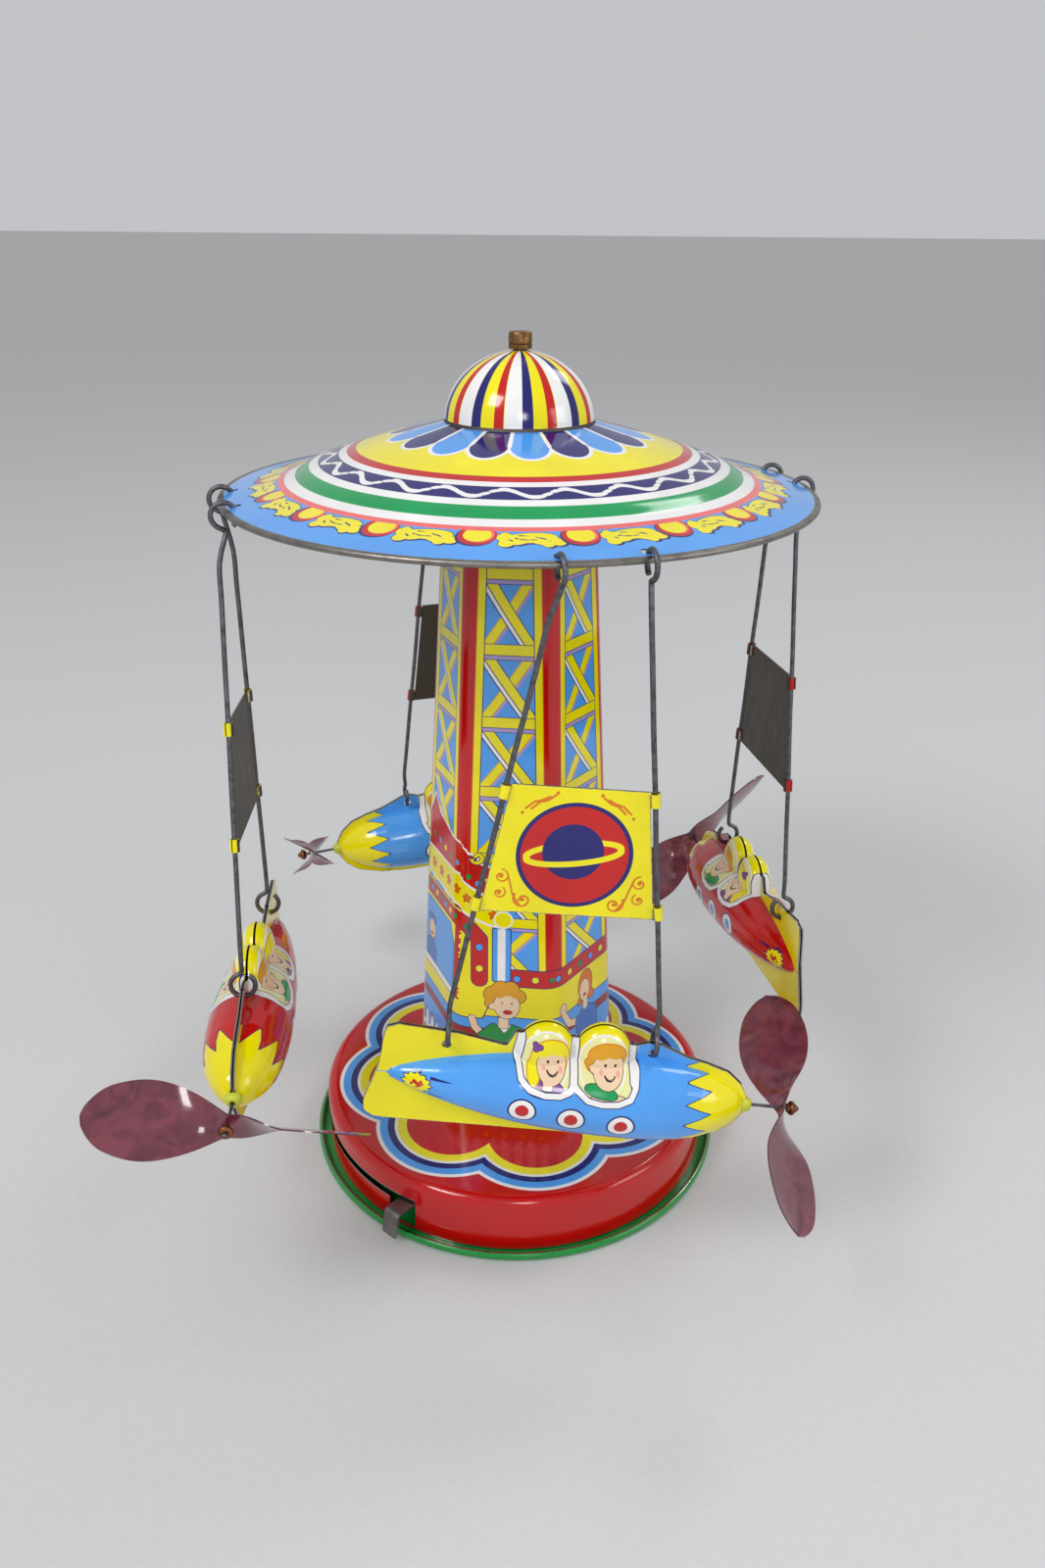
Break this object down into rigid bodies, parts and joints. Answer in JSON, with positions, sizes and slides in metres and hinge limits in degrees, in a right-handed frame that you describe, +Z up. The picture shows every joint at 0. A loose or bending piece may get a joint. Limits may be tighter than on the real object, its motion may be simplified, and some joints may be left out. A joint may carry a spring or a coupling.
{
  "type": "lever-action tin rocket carousel",
  "caption": "Lever-action tin carousel: round drum, six-sided lattice tower and domed canopy with rockets, each with a clear propeller, hanging from its rim on wires.",
  "frame": {"origin": "centre of the drum's underside, on the surface that it stands on", "axes": "+Z up along the main shaft; -Y towards the side where the lever rests and the front rocket hangs"},
  "size_m": [0.2199, 0.2236, 0.28],
  "materials": {
    "brass_turned": "dull turned",
    "bush_plastic": "moulded",
    "celluloid": "clear tinted sheet",
    "steel_sheet": "bare sheet",
    "steel_wire": "dull drawn wire",
    "tin_blue": "gloss litho lacquer",
    "tin_canopy": "gloss litho lacquer, printed bands",
    "tin_green": "gloss litho lacquer",
    "tin_red": "gloss litho lacquer",
    "tin_tower": "gloss litho lacquer, printed lattice",
    "tin_yellow": "gloss litho lacquer"
  },
  "bodies": {
    "stand": {"base_plate": "tin_green", "base_drum": "tin_red", "tower_tube": "tin_tower", "tower_top_plate": "steel_sheet", "top_bearing_bush": "brass_turned", "foot_bearing": "steel_sheet", "bearing_bridge": "steel_sheet", "lever_pin": "steel_sheet", "spring_post": "steel_sheet", "return_spring": "steel_wire"},
    "lever": {"lever": "steel_sheet"},
    "drive": {"drive_pinion": "brass_turned", "pawl": "steel_sheet"},
    "carousel": {"main_shaft": "steel_wire", "ratchet_wheel": "brass_turned", "canopy": "tin_canopy", "canopy_hub": "steel_sheet", "top_collar": "brass_turned"},
    "front_hanger": {"front_fore_wire": "steel_wire", "front_aft_wire": "steel_wire", "front_flag": "tin_yellow"},
    "front_rocket": {"front_rocket_outer_shell": "tin_blue", "front_rocket_inner_shell": "tin_blue", "front_nose_bush": "bush_plastic"},
    "front_airscrew": {"front_propeller_axle": "steel_wire", "front_propeller": "celluloid", "front_hub_bead": "brass_turned"},
    "right_hanger": {"right_fore_wire": "steel_wire", "right_aft_wire": "steel_wire", "right_flag": "tin_red"},
    "right_rocket": {"right_rocket_outer_shell": "tin_red", "right_rocket_inner_shell": "tin_red", "right_nose_bush": "bush_plastic"},
    "right_airscrew": {"right_propeller_axle": "steel_wire", "right_propeller": "celluloid", "right_hub_bead": "brass_turned"},
    "back_hanger": {"back_fore_wire": "steel_wire", "back_aft_wire": "steel_wire", "back_flag": "tin_red"},
    "back_rocket": {"back_rocket_outer_shell": "tin_blue", "back_rocket_inner_shell": "tin_blue", "back_nose_bush": "bush_plastic"},
    "back_airscrew": {"back_propeller_axle": "steel_wire", "back_propeller": "celluloid", "back_hub_bead": "brass_turned"},
    "left_hanger": {"left_fore_wire": "steel_wire", "left_aft_wire": "steel_wire", "left_flag": "tin_yellow"},
    "left_rocket": {"left_rocket_outer_shell": "tin_red", "left_rocket_inner_shell": "tin_red", "left_nose_bush": "bush_plastic"},
    "left_airscrew": {"left_propeller_axle": "steel_wire", "left_propeller": "celluloid", "left_hub_bead": "brass_turned"}
  },
  "joints": [
    {"name": "lever_swing", "type": "hinge", "parent": "stand", "child": "lever", "pos_m": [0.03164, 0.01718, 0.0117], "axis": [0, 0, -1], "range_deg": [0, 40], "stiffness_Nm_per_rad": 0.02, "springref_deg": -20.05, "deforming": ["return_spring"]},
    {"name": "drive_turn", "type": "hinge", "parent": "stand", "child": "drive", "pos_m": [0, 0, 0.012], "axis": [0, 0, -1], "range_deg": [-252, 2]},
    {"name": "carousel_spin", "type": "hinge", "parent": "stand", "child": "carousel", "pos_m": [0, 0, 0.25], "axis": [0, 0, 1], "continuous": true},
    {"name": "front_hanger_swing", "type": "hinge", "parent": "carousel", "child": "front_hanger", "pos_m": [0.02105, -0.08442, 0.2338], "axis": [-0.9703, -0.2419, 0], "range_deg": [-3, 50]},
    {"name": "front_rocket_tilt", "type": "hinge", "parent": "front_hanger", "child": "front_rocket", "pos_m": [0.01034, -0.08479, 0.09772], "axis": [-0.9963, -0.0348, 0.0785], "range_deg": [-24, 25]},
    {"name": "front_propeller_spin", "type": "hinge", "parent": "front_rocket", "child": "front_airscrew", "pos_m": [0.0788, -0.0824, 0.07116], "axis": [0.9899, 0.0346, -0.1374], "continuous": true},
    {"name": "right_hanger_swing", "type": "hinge", "parent": "carousel", "child": "right_hanger", "pos_m": [0.08442, 0.02105, 0.2338], "axis": [0.2419, -0.9703, 0], "range_deg": [-3, 50]},
    {"name": "right_rocket_tilt", "type": "hinge", "parent": "right_hanger", "child": "right_rocket", "pos_m": [0.08516, 0.01634, 0.09738], "axis": [0.1563, -0.9871, 0.0349], "range_deg": [-24, 25]},
    {"name": "right_propeller_spin", "type": "hinge", "parent": "right_rocket", "child": "right_airscrew", "pos_m": [0.07427, 0.08508, 0.07384], "axis": [-0.1557, 0.9833, -0.094], "continuous": true},
    {"name": "back_hanger_swing", "type": "hinge", "parent": "carousel", "child": "back_hanger", "pos_m": [-0.02105, 0.08442, 0.2338], "axis": [0.9703, 0.2419, 0], "range_deg": [-3, 50]},
    {"name": "back_rocket_tilt", "type": "hinge", "parent": "back_hanger", "child": "back_rocket", "pos_m": [-0.01641, 0.08549, 0.09738], "axis": [0.9738, 0.2248, 0.0349], "range_deg": [-24, 25]},
    {"name": "back_propeller_spin", "type": "hinge", "parent": "back_rocket", "child": "back_airscrew", "pos_m": [-0.08422, 0.06983, 0.07384], "axis": [-0.9701, -0.224, -0.094], "continuous": true},
    {"name": "left_hanger_swing", "type": "hinge", "parent": "carousel", "child": "left_hanger", "pos_m": [-0.08442, -0.02105, 0.2338], "axis": [-0.2419, 0.9703, 0], "range_deg": [-3, 50]},
    {"name": "left_rocket_tilt", "type": "hinge", "parent": "left_hanger", "child": "left_rocket", "pos_m": [-0.08342, -0.03528, 0.09805], "axis": [-0.0694, 0.9921, -0.1045], "range_deg": [-24, 25]},
    {"name": "left_propeller_spin", "type": "hinge", "parent": "left_rocket", "child": "left_airscrew", "pos_m": [-0.07838, -0.1073, 0.08442], "axis": [0.0697, -0.9965, 0.0455], "continuous": true}
  ],
  "couplings": [
    {"joint": "drive_turn", "follows": "lever_swing", "ratio": -6.2}
  ]
}
